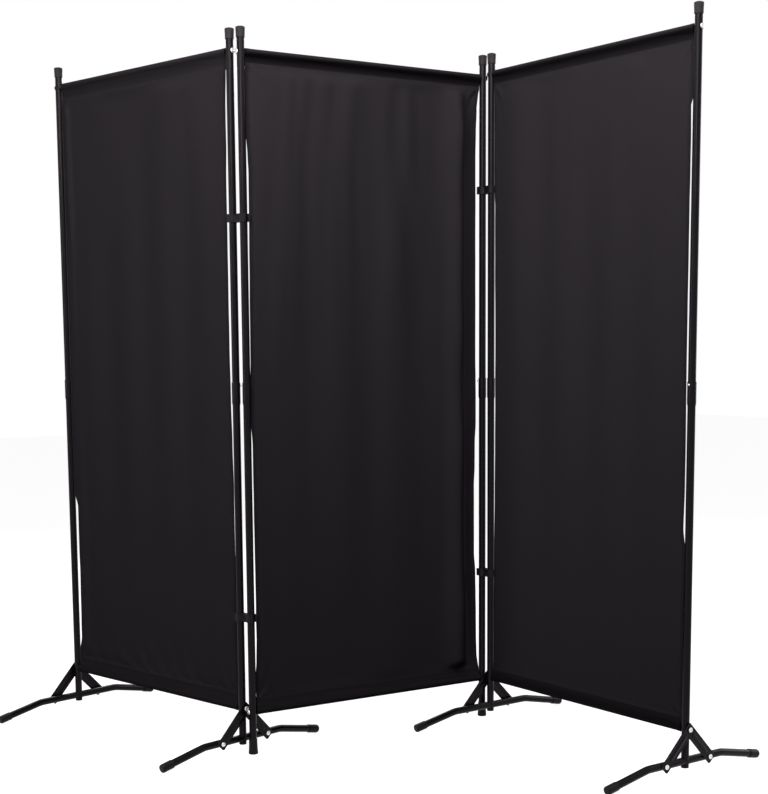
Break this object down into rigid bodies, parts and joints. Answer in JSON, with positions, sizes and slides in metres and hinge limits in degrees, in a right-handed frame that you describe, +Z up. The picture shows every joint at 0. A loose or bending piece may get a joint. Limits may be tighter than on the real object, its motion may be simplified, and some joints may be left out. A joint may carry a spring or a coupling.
{
  "type": "folding cloth screen",
  "caption": "Free-standing folding privacy screen of cloth panels on steel tube frames, joined by clip hinges and standing on bent cross feet and floor plugs.",
  "frame": {"origin": "on the floor under the middle of the standing screen's bounding box", "axes": "+Z up, +X along the middle panel to the right seen from its front, +Y towards its back"},
  "size_m": [1.4954, 1.5866, 1.8],
  "materials": {
    "black_steel": "black powder coat, satin",
    "black_plastic": "moulded black plastic",
    "grey_plastic": "moulded dark grey plastic",
    "black_cloth": "plain woven black polyester",
    "spring_steel": "plain spring steel"
  },
  "bodies": {
    "middle_panel": {"middle_top_bar": "black_steel", "middle_bottom_bar": "black_steel", "middle_cloth": "black_cloth", "middle_left_post_lower": "black_steel", "middle_left_post_upper": "black_steel", "middle_left_post_cap": "grey_plastic", "middle_left_floor_plug": "black_plastic", "middle_right_post_lower": "black_steel", "middle_right_post_upper": "black_steel", "middle_right_post_cap": "grey_plastic", "middle_right_floor_plug": "black_plastic"},
    "left_clips": {"left_clip_lower": "black_plastic", "left_clip_upper": "black_plastic"},
    "left_panel": {"left_top_bar": "black_steel", "left_bottom_bar": "black_steel", "left_cloth": "black_cloth", "left_outer_post_lower": "black_steel", "left_outer_post_upper": "black_steel", "left_outer_post_cap": "grey_plastic", "left_outer_foot_tube": "black_steel", "left_outer_foot_cap_a": "grey_plastic", "left_outer_brace_a": "black_steel", "left_outer_foot_cap_b": "grey_plastic", "left_outer_brace_b": "black_steel", "left_inner_post_lower": "black_steel", "left_inner_post_upper": "black_steel", "left_inner_post_cap": "grey_plastic", "left_inner_foot_tube": "black_steel", "left_inner_foot_cap_a": "grey_plastic", "left_inner_brace_a": "black_steel", "left_inner_foot_cap_b": "grey_plastic", "left_inner_brace_b": "black_steel"},
    "right_clips": {"right_clip_lower": "black_plastic", "right_clip_upper": "black_plastic"},
    "right_panel": {"right_top_bar": "black_steel", "right_bottom_bar": "black_steel", "right_cloth": "black_cloth", "right_inner_post_lower": "black_steel", "right_inner_post_upper": "black_steel", "right_inner_post_cap": "grey_plastic", "right_inner_foot_tube": "black_steel", "right_inner_foot_cap_a": "grey_plastic", "right_inner_brace_a": "black_steel", "right_inner_foot_cap_b": "grey_plastic", "right_inner_brace_b": "black_steel", "right_outer_post_lower": "black_steel", "right_outer_post_upper": "black_steel", "right_outer_post_cap": "grey_plastic", "right_outer_foot_tube": "black_steel", "right_outer_foot_cap_a": "grey_plastic", "right_outer_brace_a": "black_steel", "right_outer_foot_cap_b": "grey_plastic", "right_outer_brace_b": "black_steel"},
    "middle_left_button": {"middle_left_snap_button": "spring_steel"},
    "middle_right_button": {"middle_right_snap_button": "spring_steel"},
    "left_outer_button": {"left_outer_snap_button": "spring_steel"},
    "left_inner_button": {"left_inner_snap_button": "spring_steel"},
    "right_inner_button": {"right_inner_snap_button": "spring_steel"},
    "right_outer_button": {"right_outer_snap_button": "spring_steel"}
  },
  "joints": [
    {"name": "left_clip_turn", "type": "hinge", "parent": "middle_panel", "child": "left_clips", "pos_m": [-0.2962, -0.01104, 0], "axis": [0, 0, 1], "range_deg": [-24, 66]},
    {"name": "left_panel_swivel", "type": "hinge", "parent": "left_clips", "child": "left_panel", "pos_m": [-0.31003, 0.02002, 0], "axis": [0, 0, 1], "range_deg": [-21.4, 42.6]},
    {"name": "right_clip_turn", "type": "hinge", "parent": "middle_panel", "child": "right_clips", "pos_m": [0.4238, -0.01104, 0], "axis": [0, 0, 1], "range_deg": [-8, 82]},
    {"name": "right_panel_swivel", "type": "hinge", "parent": "right_clips", "child": "right_panel", "pos_m": [0.42853, -0.04471, 0], "axis": [0, 0, 1], "range_deg": [-27.3, 36.7]},
    {"name": "middle_left_button_press", "type": "slide", "parent": "middle_panel", "child": "middle_left_button", "axis": [0.5, 0.866, 0], "range_m": [-0.0048, 0], "stiffness_N_per_m": 1500, "springref_m": 0.002},
    {"name": "middle_right_button_press", "type": "slide", "parent": "middle_panel", "child": "middle_right_button", "axis": [-0.809, 0.5878, 0], "range_m": [-0.0048, 0], "stiffness_N_per_m": 1500, "springref_m": 0.002},
    {"name": "left_outer_button_press", "type": "slide", "parent": "left_panel", "child": "left_outer_button", "axis": [0.509, 0.8607, 0], "range_m": [-0.0048, 0], "stiffness_N_per_m": 1500, "springref_m": 0.002},
    {"name": "left_inner_button_press", "type": "slide", "parent": "left_panel", "child": "left_inner_button", "axis": [0.9018, -0.4321, 0], "range_m": [-0.0048, 0], "stiffness_N_per_m": 1500, "springref_m": 0.002},
    {"name": "right_inner_button_press", "type": "slide", "parent": "right_panel", "child": "right_inner_button", "axis": [0.5255, 0.8508, 0], "range_m": [-0.0048, 0], "stiffness_N_per_m": 1500, "springref_m": 0.002},
    {"name": "right_outer_button_press", "type": "slide", "parent": "right_panel", "child": "right_outer_button", "axis": [-0.9869, -0.1616, 0], "range_m": [-0.0048, 0], "stiffness_N_per_m": 1500, "springref_m": 0.002}
  ]
}
